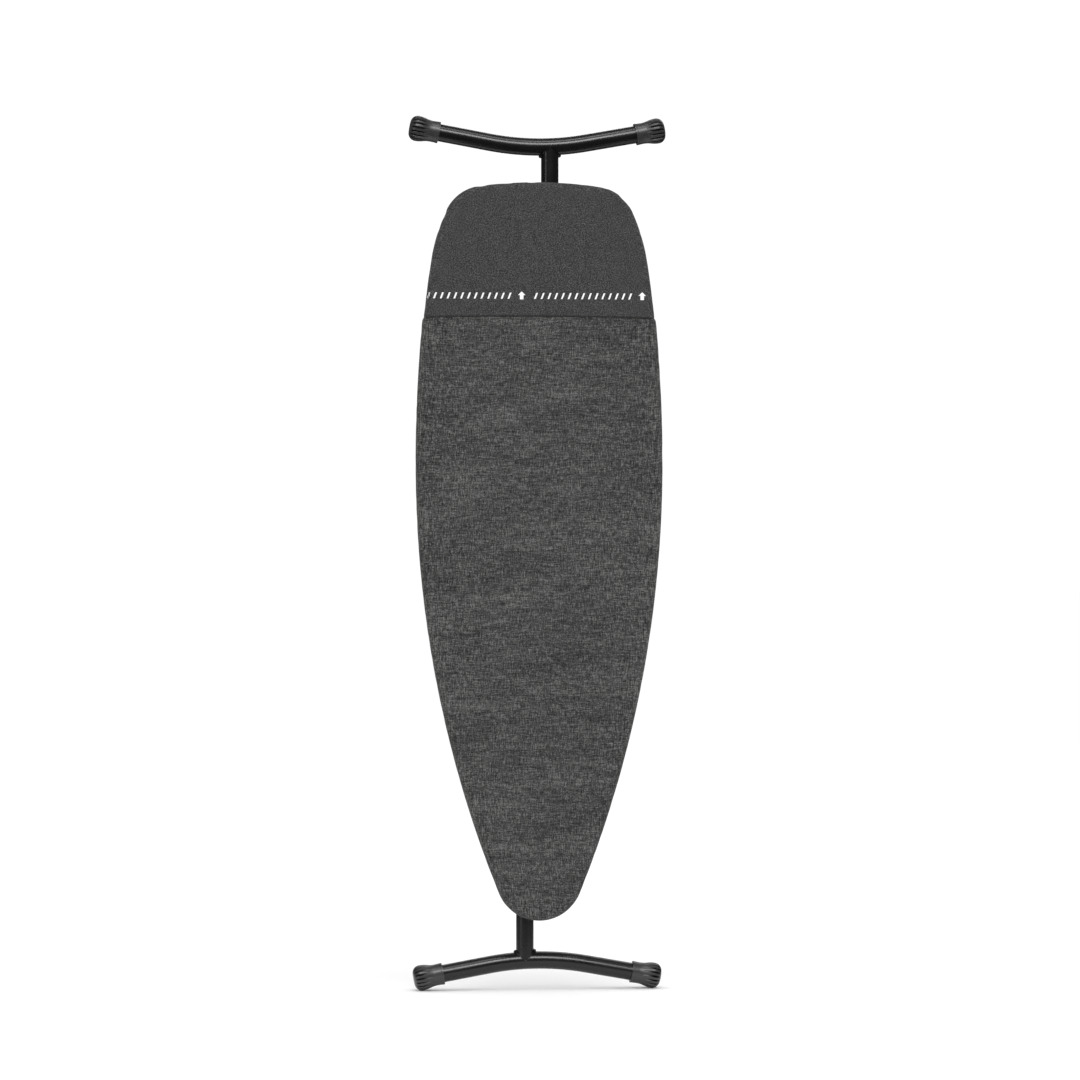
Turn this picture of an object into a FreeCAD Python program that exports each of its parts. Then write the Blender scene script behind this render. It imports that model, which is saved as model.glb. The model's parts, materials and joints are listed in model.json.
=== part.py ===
import FreeCAD, Part
import math
import os
import re
import Sketcher

# Folding ironing board, folded flat and standing upright on its lower foot bar.
# +Z is up, +X is to the right and -Y is the side the cover faces.
# The origin is on the floor, under the middle of the bounding box. All sizes are in mm.

SIZES = {
    # Outline of the cover: six tangent arcs from the wide end to the nose.
    "board_top": 1478.3,
    "crown_r": 800.0,
    "corner_r": 78.0,
    "shoulder_r": 360.0,
    "side_r": 2500.0,
    "flank_r": 2080.0,
    "nose_r": 80.0,
    # Layers, front to back.
    "cover_front": -34.75,
    "cover_t": 1.0,
    "foam_t": 6.0,
    "felt_t": 2.0,
    "plate_t": 1.0,
    "layer_inset": 1.5,
    "seam_z": 1233.0,
    "cover_depth": 25.0,
    "hem_width": 30.0,
    "elastic_r": 2.0,
    # Frame of the board.
    "rim_r": 7.0,
    "rim_wall": 1.0,
    "rim_inset": 8.5,
    "brace_t": 3.0,
    "brace_h": 20.0,
    "rail_x": 52.75,
    "rail_t": 2.5,
    "rail_back": 3.0,
    "rail_low": 242.0,
    "rail_high": 1407.0,
    # Scissor linkage.
    "pivot_y": -11.0,
    "pivot_z": 1319.7,
    "mid_z": 799.7,
    "glide_z": 279.7,
    "glide_top": 602.9,
    "axle_r": 5.0,
    "run_gap": 0.05,
    "slot_gap": 0.3,
    "notch_depth": 3.5,
    "notch_first": 386.9,
    "notch_step": 36.0,
    # Legs.
    "tube_r": 16.0,
    "tube_wall": 1.2,
    "leg_x": 23.0,
    "leg_y": 11.5,
    "leg_overhang": 16.0,
    "sleeve_r": 6.3,
    "bolt_r": 4.0,
    "bush_r": 6.0,
    # Foot bars: an arc in the middle and a straight length at each side.
    "bar_r": 505.0,
    "bar_slope": 10.2,
    "low_bar_z": 53.55,
    "high_bar_z": 1546.0,
    "low_bar_end": 134.3,
    "high_bar_end": 142.0,
    "weld_leg": 3.0,
    # Caps.
    "cap_length": 54.5,
    "cap_sleeve_r": 19.3,
    "cap_lip_r": 19.9,
    "cap_bulb_r": 23.25,
    "cap_edge_r": 13.5,
    "cap_depth": 48.5,
    "cap_waist": 13.0,
    "cap_shoulder": 40.5,
    "flute_r": 2.3,
    "flute_depth": 2.0,
    "flute_sweep_r": 90.0,
    "flute_angle": 23.5,
    "flute_middle": 38.0,
    "flute_count": 18,
    # Height release lever.
    "lever_x": 74.0,
    "lever_y": -17.0,
    "lever_r": 3.5,
    "lever_low": 372.0,
    "lever_high": 668.0,
    "lever_arm_z": 606.0,
    "lever_slope": 14.7,
    "trip_x": 57.0,
    "trip_t": 2.0,
    # Transport lock.
    "lock_z": 292.0,
    "lock_x": 57.0,
}

# Heading of the outline where one arc meets the next, in degrees clockwise from +X.
CROWN_TURN = 7.96
CORNER_TURN = 65.6
SHOULDER_TURN = 81.5

BRACE_HEIGHTS = (1397.0, 1230.0, 1010.0, 790.0, 340.0, 252.0)
NOTCH_COUNT = 7

doc = FreeCAD.newDocument("ironing_board")
sheet = doc.addObject("Spreadsheet::Sheet", "size")
for row, (alias, value) in enumerate(SIZES.items(), start=1):
    sheet.set("A%d" % row, alias)
    sheet.set("B%d" % row, str(value))
    sheet.setAlias("B%d" % row, alias)
doc.recompute()

nodes = []


def sized(text):
    """Turn an expression in plain names into one that reads the spreadsheet."""
    return re.sub(r"[a-z][a-z_]+", lambda found: "size." + found.group(0), text)


def bind(item, prop, text):
    item.setExpression(prop, sized(text))


def value_of(text):
    """Work out an expression in plain names with the sizes above."""
    names = sorted(SIZES, key=len, reverse=True)
    terms = re.findall(r"[+-]?\s*[^+\-\s]+", text)
    total = 0.0
    for term in terms:
        term = term.replace(" ", "")
        sign = -1.0 if term.startswith("-") else 1.0
        product = sign
        for factor in term.lstrip("+-").split("*"):
            product *= SIZES[factor] if factor in names else float(factor)
        total += product
    return total


def keep(item, label):
    """Name a finished sub-part and list it for export."""
    item.Label = label
    nodes.append(item)
    return item


# ---- Primitives and booleans ------------------------------------------------

def box(name, x_span, y_span, z_span):
    """A box between two expressions on each axis."""
    item = doc.addObject("Part::Box", name)
    spans = (("x", "Length", x_span), ("y", "Width", y_span), ("z", "Height", z_span))
    for axis, side, (low, high) in spans:
        bind(item, "Placement.Base." + axis, low)
        bind(item, side, "(%s) - (%s)" % (high, low))
    return item


TURNS = {
    "x": FreeCAD.Rotation(FreeCAD.Vector(0, 1, 0), 90),
    "y": FreeCAD.Rotation(FreeCAD.Vector(1, 0, 0), -90),
    "z": FreeCAD.Rotation(),
}


def rod(name, axis, radius, across, span):
    """A cylinder along one axis; across gives its other two coordinates in X, Y, Z order."""
    item = doc.addObject("Part::Cylinder", name)
    item.Placement = FreeCAD.Placement(FreeCAD.Vector(), TURNS[axis])
    others = [letter for letter in "xyz" if letter != axis]
    bind(item, "Radius", radius)
    bind(item, "Placement.Base." + others[0], across[0])
    bind(item, "Placement.Base." + others[1], across[1])
    bind(item, "Placement.Base." + axis, span[0])
    bind(item, "Height", "(%s) - (%s)" % (span[1], span[0]))
    return item


def hexagon(name, radius, across, span):
    """A hexagonal prism along X, for a bolt head or a nut."""
    item = doc.addObject("Part::Prism", name)
    item.Polygon = 6
    item.Placement = FreeCAD.Placement(FreeCAD.Vector(), TURNS["x"])
    bind(item, "Circumradius", radius)
    bind(item, "Placement.Base.y", across[0])
    bind(item, "Placement.Base.z", across[1])
    bind(item, "Placement.Base.x", span[0])
    bind(item, "Height", "(%s) - (%s)" % (span[1], span[0]))
    return item


def fuse(name, *items):
    item = doc.addObject("Part::MultiFuse", name)
    item.Shapes = list(items)
    item.Refine = True
    return item


def cut(name, base, *tools):
    """Take each tool away from the base in turn."""
    for index, tool in enumerate(tools, start=1):
        item = doc.addObject("Part::Cut", "%s_cut_%d" % (name, index))
        item.Base = base
        item.Tool = tool
        item.Refine = index == len(tools)
        base = item
    return base


def common(name, first, second):
    item = doc.addObject("Part::MultiCommon", name)
    item.Shapes = [first, second]
    return item


# ---- Part Design bodies -----------------------------------------------------

def plane_of(body, role):
    return [item for item in body.Origin.OriginFeatures if item.Role == role][0]


def sketch_on(body, role, name, offset="0"):
    """A sketch on one of the body's own planes, moved along its normal."""
    sketch = body.newObject("Sketcher::SketchObject", name)
    sketch.AttachmentSupport = [(plane_of(body, role), "")]
    sketch.MapMode = "FlatFace"
    bind(sketch, "AttachmentOffset.Base.z", offset)
    return sketch


def mirror_across_middle(body, feature):
    mirrored = body.newObject("PartDesign::Mirrored", body.Name + "_mirror")
    mirrored.Originals = [feature]
    mirrored.MirrorPlane = (plane_of(body, "YZ_Plane"), [""])
    body.Tip = mirrored
    return body


def outline_arcs(inset):
    """Right half of the outline, moved inwards: centre, radius, first and last heading."""
    radii = ["crown_r", "corner_r", "shoulder_r", "side_r", "flank_r", "nose_r"]
    widest = half_width()
    nose_turn = 180 - math.degrees(math.asin(
        (SIZES["flank_r"] - widest) / (SIZES["flank_r"] - SIZES["nose_r"])))
    turns = [0, CROWN_TURN, CORNER_TURN, SHOULDER_TURN, 90, nose_turn, 180]
    x, z = 0.0, SIZES["board_top"]
    arcs = []
    for name, first, last in zip(radii, turns, turns[1:]):
        radius = SIZES[name]
        start, end = math.radians(first), math.radians(last)
        centre = (x - radius * math.sin(start), z - radius * math.cos(start))
        arcs.append((name, centre, radius - inset, start, end))
        x = centre[0] + radius * math.sin(end)
        z = centre[1] + radius * math.cos(end)
    return arcs


def half_width():
    """Half of the board's greatest width."""
    turns = [0, CROWN_TURN, CORNER_TURN, SHOULDER_TURN, 90]
    radii = [SIZES[name] for name in ("crown_r", "corner_r", "shoulder_r", "side_r")]
    sines = [math.sin(math.radians(turn)) for turn in turns]
    return sum(radius * (b - a) for radius, a, b in zip(radii, sines, sines[1:]))


def draw_outline(sketch, inset, closed):
    """Draw half of the outline, tangent arcs from the crown to the nose."""
    arcs = outline_arcs(value_of(inset))
    for index, (name, (x, z), radius, start, end) in enumerate(arcs):
        circle = Part.Circle(FreeCAD.Vector(x, z, 0), FreeCAD.Vector(0, 0, 1), radius)
        sketch.addGeometry(Part.ArcOfCircle(circle, math.pi / 2 - end, math.pi / 2 - start))
        limit = sketch.addConstraint(Sketcher.Constraint("Radius", index, radius))
        sketch.setExpression("Constraints[%d]" % limit, sized("%s - (%s)" % (name, inset)))
        if index:
            sketch.addConstraint(Sketcher.Constraint("Tangent", index - 1, 1, index, 2))
    if closed:
        last = len(arcs) - 1
        top = sketch.getPoint(0, 2)
        low = sketch.getPoint(last, 1)
        line = sketch.addGeometry(Part.LineSegment(low, top))
        sketch.addConstraint(Sketcher.Constraint("Coincident", last, 1, line, 1))
        sketch.addConstraint(Sketcher.Constraint("Coincident", 0, 2, line, 2))


def slab(name, inset, front, back):
    """A flat layer with the board's outline, between two depths."""
    body = doc.addObject("PartDesign::Body", name)
    sketch = sketch_on(body, "XZ_Plane", name + "_outline", "-(%s)" % back)
    draw_outline(sketch, inset, True)
    pad = body.newObject("PartDesign::Pad", name + "_pad")
    pad.Profile = sketch
    bind(pad, "Length", "(%s) - (%s)" % (back, front))
    return mirror_across_middle(body, pad)


def pipe(name, draw_path, depth, start_z, radius, bore=None):
    """A round tube along half of a path, mirrored across the middle."""
    body = doc.addObject("PartDesign::Body", name)
    path = sketch_on(body, "XZ_Plane", name + "_path", "-(%s)" % depth)
    draw_path(path)
    ring = sketch_on(body, "YZ_Plane", name + "_ring")
    centre = FreeCAD.Vector(value_of(depth), start_z, 0)
    for index, size in enumerate([radius] + ([bore] if bore else [])):
        circle = Part.Circle(centre, FreeCAD.Vector(0, 0, 1), value_of(size))
        ring.addGeometry(circle)
        limit = ring.addConstraint(Sketcher.Constraint("Radius", index, value_of(size)))
        ring.setExpression("Constraints[%d]" % limit, sized(size))
    swept = body.newObject("PartDesign::AdditivePipe", name + "_sweep")
    swept.Profile = ring
    swept.Spine = (path, ["Edge%d" % (edge + 1) for edge in range(path.GeometryCount)])
    return mirror_across_middle(body, swept)


# ---- Board: cover, pad and frame --------------------------------------------

FOAM_FRONT = "cover_front + cover_t"
FELT_FRONT = FOAM_FRONT + " + foam_t"
PLATE_FRONT = FELT_FRONT + " + felt_t"
PLATE_BACK = PLATE_FRONT + " + plate_t"
RIM_DEPTH = PLATE_BACK + " + rim_r"
COVER_BACK = "cover_front + cover_depth"
BRACE_BACK = PLATE_BACK + " + brace_t"


def make_cover():
    """A thin skin over the pad, turned in behind the rim; two cloths meet at the seam."""
    block = slab("cover_block", "0", "cover_front", COVER_BACK)
    inside = slab("cover_inside", "cover_t", FOAM_FRONT, COVER_BACK + " - cover_t")
    mouth = slab("cover_mouth", "hem_width", FOAM_FRONT, COVER_BACK + " + 1")
    skin = cut("cover_skin", block, inside, mouth)
    side = ("-300", "300")
    depth = ("-60", "20")
    above = box("above_seam", side, depth, ("seam_z", "board_top + 20"))
    below = box("below_seam", side, depth, ("50", "seam_z"))
    keep(common("cover_zone", skin, above), "cover_zone")
    keep(common("cover_main", skin, below), "cover_main")


def make_elastic():
    """Elastic cord along the free edge of the cover's hem."""
    inset = "hem_width + elastic_r"
    top = SIZES["board_top"] - value_of(inset)
    body = pipe("hem_elastic", lambda path: draw_outline(path, inset, False),
                COVER_BACK + " - 0.5", top, "elastic_r")
    keep(body, "hem_elastic")


def make_layers():
    keep(slab("foam_pad", "layer_inset", FOAM_FRONT, FELT_FRONT), "foam_pad")
    keep(slab("felt_layer", "layer_inset", FELT_FRONT, PLATE_FRONT), "felt_layer")
    keep(slab("top_plate", "layer_inset", PLATE_FRONT, PLATE_BACK), "top_plate")


def make_rim():
    top = SIZES["board_top"] - SIZES["rim_inset"]
    body = pipe("rim_tube", lambda path: draw_outline(path, "rim_inset", False),
                RIM_DEPTH, top, "rim_r", "rim_r - rim_wall")
    keep(body, "rim_tube")


def make_braces():
    """Cross braces behind the plate, trimmed to fit inside the rim tube."""
    for index, height in enumerate(BRACE_HEIGHTS, start=1):
        name = "cross_brace_%d" % index
        field = slab(name + "_field", "rim_inset + 5.8", PLATE_BACK, BRACE_BACK)
        bar = box(name + "_bar", ("-300", "300"), (PLATE_BACK, BRACE_BACK),
                  ("%g - 0.5 * brace_h" % height, "%g + 0.5 * brace_h" % height))
        keep(common(name, field, bar), name)


def make_rail(side):
    """A slotted rail; the notches on the plate side of the slot set the heights."""
    name = "rail_left" if side < 0 else "rail_right"
    low, high = ("-rail_x - rail_t", "-rail_x") if side < 0 else ("rail_x", "rail_x + rail_t")
    through = (low + " - 1", high + " + 1")
    bar = box(name + "_bar", (low, high), (BRACE_BACK, "rail_back"), ("rail_low", "rail_high"))
    slot_r = "axle_r + slot_gap"
    tools = [
        rod(name + "_hole", "x", "axle_r + run_gap", ("pivot_y", "pivot_z"), through),
        rod(name + "_slot_low", "x", slot_r, ("pivot_y", "glide_z"), through),
        rod(name + "_slot_high", "x", slot_r, ("pivot_y", "glide_top"), through),
        box(name + "_slot", through, ("pivot_y - axle_r - slot_gap", "pivot_y + axle_r + slot_gap"),
            ("glide_z", "glide_top")),
    ]
    for index in range(NOTCH_COUNT):
        centre = ("pivot_y - notch_depth", "notch_first + %d * notch_step" % index)
        tools.append(rod("%s_notch_%d" % (name, index + 1), "x", slot_r, centre, through))
    keep(cut(name, bar, *tools), name)


def make_pivot_axle():
    """The fixed axle the front leg turns on, with a clip at each end."""
    end = "rail_x + rail_t + 3"
    shaft = rod("pivot_shaft", "x", "axle_r", ("pivot_y", "pivot_z"), ("-(%s)" % end, end))
    keep(shaft, "pivot_axle")
    spans = (("pivot_clip_left", ("-rail_x - rail_t - 1.4", "-rail_x - rail_t")),
             ("pivot_clip_right", ("rail_x + rail_t", "rail_x + rail_t + 1.4")))
    for name, span in spans:
        centre = ("pivot_y", "pivot_z")
        disc = rod(name + "_disc", "x", "axle_r + 4", centre, span)
        hole = rod(name + "_hole", "x", "axle_r", centre, span)
        keep(cut(name, disc, hole), name)


def make_leg_rest(name, x, low, high):
    """A plastic cradle on the plate that a folded leg lies against."""
    block = box(name + "_block", (x + " - 14", x + " + 14"), (PLATE_BACK, "leg_y - 11"), (low, high))
    seat = rod(name + "_seat", "z", "tube_r + 0.4", (x, "leg_y"), (low + " - 1", high + " + 1"))
    keep(cut(name, block, seat), name)


def make_lever_clip(name, low, high):
    """A bearing block on the plate for the lever's rod."""
    block = box(name + "_block", ("lever_x - 7", "lever_x + 7"), (PLATE_BACK, "lever_y + 7"), (low, high))
    bore = rod(name + "_bore", "z", "lever_r + run_gap", ("lever_x", "lever_y"),
               (low + " - 1", high + " + 1"))
    keep(cut(name, block, bore), name)


def make_lever_spring():
    """The torsion spring that returns the lever, as one sleeve round the rod."""
    span = ("lever_high - 32", "lever_high - 20")
    centre = ("lever_x", "lever_y")
    coil = rod("lever_spring_coil", "z", "lever_r + 2.5", centre, span)
    hole = rod("lever_spring_hole", "z", "lever_r + 0.5", centre, span)
    keep(cut("lever_spring", coil, hole), "lever_spring")


def make_lock_guide():
    """The guide on the left rail that the transport lock slides through."""
    block = box("lock_guide_block", ("-lock_x - 4", "-rail_x - rail_t"), ("pivot_y + 7", "rail_back"),
                ("lock_z - 9", "lock_z + 9"))
    slot = box("lock_guide_slot", ("-lock_x - 1.2", "-lock_x + 1.2"),
               ("pivot_y + 6", "rail_back + 1"), ("lock_z - 5.2", "lock_z + 5.2"))
    keep(cut("lock_guide", block, slot), "lock_guide")


# ---- Legs -------------------------------------------------------------------

def draw_bar_path(sketch, height, end_name, rise):
    """Half of a foot bar: an arc about the middle, then a straight end."""
    radius = SIZES["bar_r"]
    slope = math.radians(SIZES["bar_slope"])
    middle = FreeCAD.Vector(0, height + rise * radius, 0)
    circle = Part.Circle(middle, FreeCAD.Vector(0, 0, 1), radius)
    if rise > 0:
        arc = Part.ArcOfCircle(circle, -math.pi / 2, slope - math.pi / 2)
        joint = arc.EndPoint
    else:
        arc = Part.ArcOfCircle(circle, math.pi / 2 - slope, math.pi / 2)
        joint = arc.StartPoint
    reach = SIZES[end_name]
    tip = joint + FreeCAD.Vector(reach * math.cos(slope), rise * reach * math.sin(slope), 0)
    sketch.addGeometry(arc)
    sketch.addGeometry(Part.LineSegment(joint, tip))
    side = 2 if rise > 0 else 1
    sketch.addConstraint(Sketcher.Constraint("Tangent", 0, side, 1, 1))
    for kind, index, size, name in (("Radius", 0, radius, "bar_r"), ("Distance", 1, reach, end_name)):
        limit = sketch.addConstraint(Sketcher.Constraint(kind, index, size))
        sketch.setExpression("Constraints[%d]" % limit, sized(name))


def bar_tip(height, end_name, rise):
    """Where a foot bar's straight end stops, right side."""
    slope = math.radians(SIZES["bar_slope"])
    radius, reach = SIZES["bar_r"], SIZES[end_name]
    x = radius * math.sin(slope) + reach * math.cos(slope)
    climb = radius * (1 - math.cos(slope)) + reach * math.sin(slope)
    return x, height + rise * climb


def draw_cap_profile(sketch):
    """Section of a cap on one side of its axis, from the open end to the blunt end."""
    length, sleeve, bulb = SIZES["cap_length"], SIZES["cap_sleeve_r"], SIZES["cap_bulb_r"]
    lip, edge, bore = SIZES["cap_lip_r"], SIZES["cap_edge_r"], SIZES["tube_r"] + 0.05
    depth = SIZES["cap_depth"]
    waist, shoulder = SIZES["cap_waist"], SIZES["cap_shoulder"]
    step, climb = shoulder - waist, bulb - sleeve
    sweep_r = (step ** 2 + climb ** 2) / (4 * climb)
    turn = math.asin(step / 2 / sweep_r)
    up = FreeCAD.Vector(0, 0, 1)
    point = FreeCAD.Vector
    hollow = Part.ArcOfCircle(Part.Circle(point(sleeve + sweep_r, waist, 0), up, sweep_r),
                              math.pi - turn, math.pi)
    swell = Part.ArcOfCircle(Part.Circle(point(bulb - sweep_r, shoulder, 0), up, sweep_r), -turn, 0)
    corner = Part.ArcOfCircle(Part.Circle(point(bulb - edge, length - edge, 0), up, edge),
                              0, math.pi / 2)
    corners = [point(0, length, 0), point(0, depth, 0), point(bore, depth, 0), point(bore, 0, 0),
               point(lip, 0, 0), point(lip, 3, 0), point(sleeve + 0.3, 4, 0), point(sleeve, waist, 0)]
    lines = [Part.LineSegment(a, b) for a, b in zip(corners, corners[1:])]
    lines += [hollow, swell, Part.LineSegment(point(bulb, shoulder, 0), point(bulb, length - edge, 0)),
              corner, Part.LineSegment(point(bulb - edge, length, 0), point(0, length, 0))]
    for line in lines:
        sketch.addGeometry(line)
    limit = sketch.addConstraint(Sketcher.Constraint("Radius", 10, edge))
    sketch.setExpression("Constraints[%d]" % limit, sized("cap_edge_r"))


def make_cap(name, tip, side, rise):
    """A fluted cap pushed over one end of a foot bar."""
    body = doc.addObject("PartDesign::Body", name)
    sketch = sketch_on(body, "XZ_Plane", name + "_section")
    draw_cap_profile(sketch)
    turned = body.newObject("PartDesign::Revolution", name + "_turned")
    turned.Profile = sketch
    turned.ReferenceAxis = (sketch, ["V_Axis"])
    flute = body.newObject("PartDesign::SubtractiveTorus", name + "_flute")
    swing = FreeCAD.Rotation(FreeCAD.Vector(0, 0, 1), 180.0 / SIZES["flute_count"])
    stand = FreeCAD.Rotation(FreeCAD.Vector(1, 0, 0), -90)
    start = FreeCAD.Rotation(FreeCAD.Vector(0, 0, 1), -SIZES["flute_angle"] / 2)
    bottom = SIZES["cap_bulb_r"] - SIZES["flute_depth"]
    centre = FreeCAD.Vector(bottom + SIZES["flute_r"] - SIZES["flute_sweep_r"], 0, SIZES["flute_middle"])
    flute.Placement = FreeCAD.Placement(swing.multVec(centre), swing.multiply(stand).multiply(start))
    bind(flute, "Radius1", "flute_sweep_r")
    bind(flute, "Radius2", "flute_r")
    bind(flute, "Angle3", "flute_angle")
    ring = body.newObject("PartDesign::PolarPattern", name + "_flutes")
    ring.Originals = [flute]
    ring.Axis = (plane_axis(body), [""])
    ring.Angle = 360
    bind(ring, "Occurrences", "flute_count")
    body.Tip = ring
    slope = SIZES["bar_slope"]
    turn = side * (90 - rise * slope)
    back = SIZES["cap_depth"]
    sine, cosine = math.sin(math.radians(slope)), math.cos(math.radians(slope))
    x = side * (tip[0] - back * cosine)
    z = tip[1] - rise * back * sine
    body.Placement = FreeCAD.Placement(FreeCAD.Vector(x, SIZES["leg_y"], z),
                                       FreeCAD.Rotation(FreeCAD.Vector(0, 1, 0), turn))
    bind(body, "Placement.Base.y", "leg_y")
    keep(body, name)


def plane_axis(body):
    return [item for item in body.Origin.OriginFeatures if item.Role == "Z_Axis"][0]


def make_foot(prefix, height_name, end_name, rise):
    """A foot bar with its two caps; returns it as a full rod, and as one thicker by the weld."""
    height = SIZES[height_name]

    def path(sketch):
        draw_bar_path(sketch, height, end_name, rise)

    bar = pipe(prefix + "_foot_bar", path, "leg_y", height, "tube_r", "tube_r - tube_wall")
    keep(bar, prefix + "_foot_bar")
    tip = bar_tip(height, end_name, rise)
    make_cap(prefix + "_cap_left", tip, -1, rise)
    make_cap(prefix + "_cap_right", tip, 1, rise)
    foot_rod = pipe(prefix + "_foot_rod", path, "leg_y", height, "tube_r")
    weld_rod = pipe(prefix + "_weld_rod", path, "leg_y", height, "tube_r + weld_leg")
    return foot_rod, weld_rod


def make_leg(prefix, x, height_name, end_z, rise, rods, hole_r):
    """A straight leg coped to its foot bar, with the weld bead and the end plug."""
    foot_rod, weld_rod = rods
    low, high = (height_name, end_z) if rise < 0 else (end_z, height_name)
    centre = (x, "leg_y")
    outer = rod(prefix + "_outer", "z", "tube_r", centre, (low, high))
    bore = rod(prefix + "_bore", "z", "tube_r - tube_wall", centre, (low + " - 1", high + " + 1"))
    cross = rod(prefix + "_cross", "x", hole_r, ("leg_y", "mid_z"), (x + " - 20", x + " + 20"))
    keep(cut(prefix + "_tube", outer, bore, cross, foot_rod), prefix + "_tube")

    reach = (height_name, height_name + " + 22") if rise < 0 else (height_name + " - 22", height_name)
    collar = rod(prefix + "_weld_collar", "z", "tube_r + weld_leg", centre, reach)
    core = rod(prefix + "_weld_core", "z", "tube_r", centre, (reach[0] + " - 1", reach[1] + " + 1"))
    ring = common(prefix + "_weld_ring", collar, weld_rod)
    keep(cut(prefix + "_weld", ring, core, foot_rod), prefix + "_weld")

    flange = (end_z, end_z + " + 2") if rise < 0 else (end_z + " - 2", end_z)
    stem = (end_z + " - 12", end_z) if rise < 0 else (end_z, end_z + " + 12")
    head = rod(prefix + "_plug_head", "z", "tube_r", centre, flange)
    body = rod(prefix + "_plug_stem", "z", "tube_r - tube_wall", centre, stem)
    keep(fuse(prefix + "_plug", head, body), prefix + "_plug")
    return rod(prefix + "_solid", "z", "tube_r", centre, (low, high))


def make_sleeve(name, saddle, x, z, span, bore_r, leg):
    """A sleeve welded across the front of a leg, with the saddle that carries it."""
    centre = ("pivot_y", z)
    outer = rod(name + "_outer", "x", "sleeve_r", centre, span)
    bore = rod(name + "_bore", "x", bore_r, centre, (span[0] + " - 1", span[1] + " + 1"))
    keep(cut(name, outer, bore), name)
    block = box(saddle + "_block", (x + " - 9", x + " + 9"), ("pivot_y", "leg_y - 13"),
                (z + " - 12", z + " + 12"))
    envelope = rod(saddle + "_envelope", "x", "sleeve_r", centre, (x + " - 12", x + " + 12"))
    keep(cut(saddle, block, envelope, leg), saddle)


def make_front_leg():
    """The leg that turns on the fixed axle; its foot bar is the lower one."""
    foot = make_foot("front", "low_bar_z", "low_bar_end", -1)
    leg = make_leg("front", "-leg_x", "low_bar_z", "pivot_z + leg_overhang", -1, foot, "bush_r")
    make_sleeve("pivot_sleeve", "pivot_saddle", "-leg_x", "pivot_z",
                ("0.45 - rail_x", "3"), "axle_r + run_gap", leg)
    centre = ("leg_y", "mid_z")
    span = ("-leg_x - tube_r", "-leg_x + tube_r")
    bush = rod("mid_bush_outer", "x", "bush_r", centre, span)
    bore = rod("mid_bush_bore", "x", "bolt_r + run_gap", centre, (span[0] + " - 1", span[1] + " + 1"))
    keep(cut("mid_bush", bush, bore), "mid_bush")


def make_rear_leg():
    """The leg that glides along the rails; its foot bar is the upper one."""
    foot = make_foot("rear", "high_bar_z", "high_bar_end", 1)
    leg = make_leg("rear", "leg_x", "high_bar_z", "glide_z - leg_overhang", 1, foot, "bolt_r")
    make_sleeve("glide_sleeve", "glide_saddle", "leg_x", "glide_z", ("-3", "47"), "axle_r", leg)
    centre = ("pivot_y", "glide_z")
    keep(rod("glide_shaft", "x", "axle_r", centre, ("-60", "60")), "glide_axle")
    disc = rod("glide_clip_disc", "x", "axle_r + 3.5", centre, ("-46.8", "-45.6"))
    hole = rod("glide_clip_hole", "x", "axle_r", centre, ("-46.8", "-45.6"))
    keep(cut("glide_clip", disc, hole), "glide_clip")
    make_mid_bolt()


def make_mid_bolt():
    """The bolt the two legs turn on, with its washers, spacer and nut."""
    centre = ("leg_y", "mid_z")
    left, right = "-leg_x - tube_r", "leg_x + tube_r"
    shank = rod("mid_shank", "x", "bolt_r", centre, (left + " - 2", right + " + 9"))
    head = hexagon("mid_head", "7.5", centre, (left + " - 7", left + " - 1.9"))
    keep(fuse("mid_bolt", shank, head), "mid_bolt")
    rings = (("mid_washer_left", "9", (left + " - 1.9", left + " - 0.4")),
             ("mid_spacer", "11", ("tube_r - leg_x + 0.4", "leg_x - tube_r")),
             ("mid_washer_right", "9", (right, right + " + 1.5")))
    for name, radius, span in rings:
        disc = rod(name + "_disc", "x", radius, centre, span)
        hole = rod(name + "_hole", "x", "bolt_r", centre, span)
        keep(cut(name, disc, hole), name)
    span = (right + " + 1.5", right + " + 8")
    nut = hexagon("mid_nut_hexagon", "7.5", centre, span)
    hole = rod("mid_nut_hole", "x", "bolt_r", centre, span)
    keep(cut("mid_nut", nut, hole), "mid_nut")


# ---- Glide shoes, lever and lock --------------------------------------------

def make_shoe(side):
    """A plastic shoe that turns on the axle and hooks over the rail's back edge."""
    name = "glide_shoe_left" if side < 0 else "glide_shoe_right"
    block_span = ("-51.9", "-47.5") if side < 0 else ("47.5", "51.9")
    lip_span = ("-54.5", "-47.5") if side < 0 else ("47.5", "54.5")
    height = ("glide_z - 16", "glide_z + 16")
    block = box(name + "_block", block_span, ("pivot_y - 8", "rail_back + 3"), height)
    lip = box(name + "_lip", lip_span, ("rail_back + 0.5", "rail_back + 3"), height)
    bore = rod(name + "_bore", "x", "axle_r + run_gap", ("pivot_y", "glide_z"),
               (block_span[0] + " - 1", block_span[1] + " + 1"))
    keep(cut(name, fuse(name + "_body", block, lip), bore), name)


def lever_piece(name, reach, thickness, height):
    """A box that leaves the lever's rod at the handle's rest angle."""
    item = doc.addObject("Part::Box", name)
    item.Length = reach[1] - reach[0]
    item.Width = thickness
    item.Height = height
    slope = math.radians(SIZES["lever_slope"])
    along = FreeCAD.Vector(math.cos(slope), math.sin(slope), 0)
    across = FreeCAD.Vector(-math.sin(slope), math.cos(slope), 0)
    base = FreeCAD.Vector(SIZES["lever_x"], SIZES["lever_y"], SIZES["lever_arm_z"] - height / 2)
    item.Placement = FreeCAD.Placement(base + along * reach[0] - across * (thickness / 2),
                                       FreeCAD.Rotation(FreeCAD.Vector(0, 0, 1), SIZES["lever_slope"]))
    return item


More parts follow.
